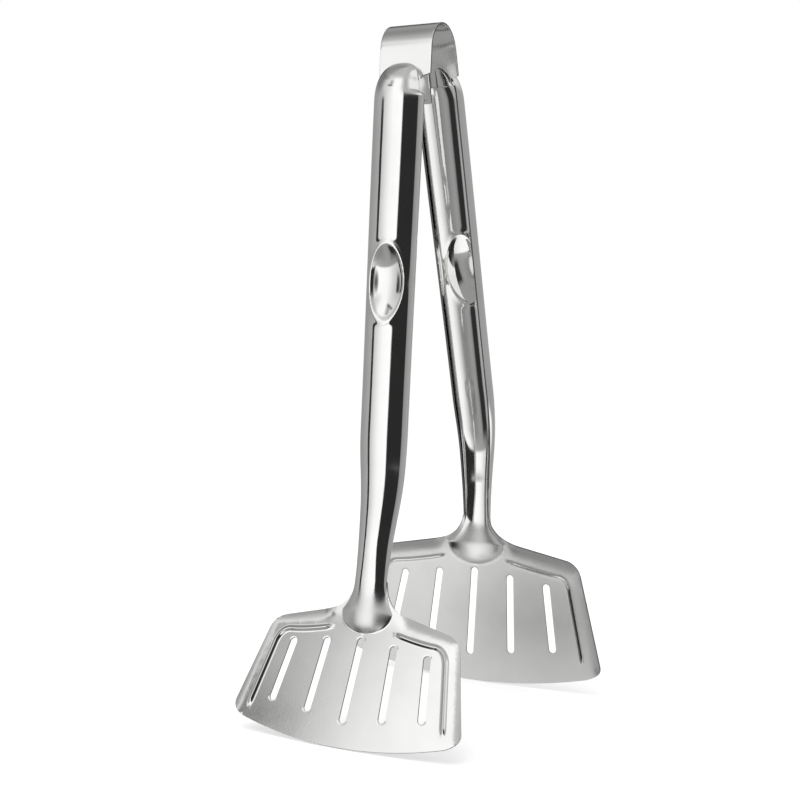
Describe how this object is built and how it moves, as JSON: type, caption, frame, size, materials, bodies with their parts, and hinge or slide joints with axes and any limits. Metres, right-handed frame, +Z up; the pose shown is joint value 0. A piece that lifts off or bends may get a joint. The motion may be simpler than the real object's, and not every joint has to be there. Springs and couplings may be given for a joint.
{
  "type": "fish spatula tongs",
  "caption": "Free-standing spring tongs with trough handles, thumb dishes and slotted fan blades, joined by a bowed spring strip.",
  "frame": {"origin": "centre of the box at the level of the ground on which the two blade edges stand", "axes": "+Z up, +X across the blades, +Y from the smaller front blade to the larger rear blade"},
  "size_m": [0.126, 0.137, 0.2816],
  "materials": {
    "polished_sheet": "mirror-polished stainless steel sheet",
    "spring_steel": "fine satin stainless spring steel"
  },
  "bodies": {
    "rear": {"rear_arm": "polished_sheet", "spring_strip": "spring_steel"},
    "front": {"front_arm": "polished_sheet"}
  },
  "joints": [
    {"name": "bow_flex", "type": "hinge", "parent": "rear", "child": "front", "pos_m": [0, -0.01847, 0.27153], "axis": [1, 0, 0], "range_deg": [-8, 26.8], "stiffness_Nm_per_rad": 3.1, "deforming": ["spring_strip"]}
  ]
}
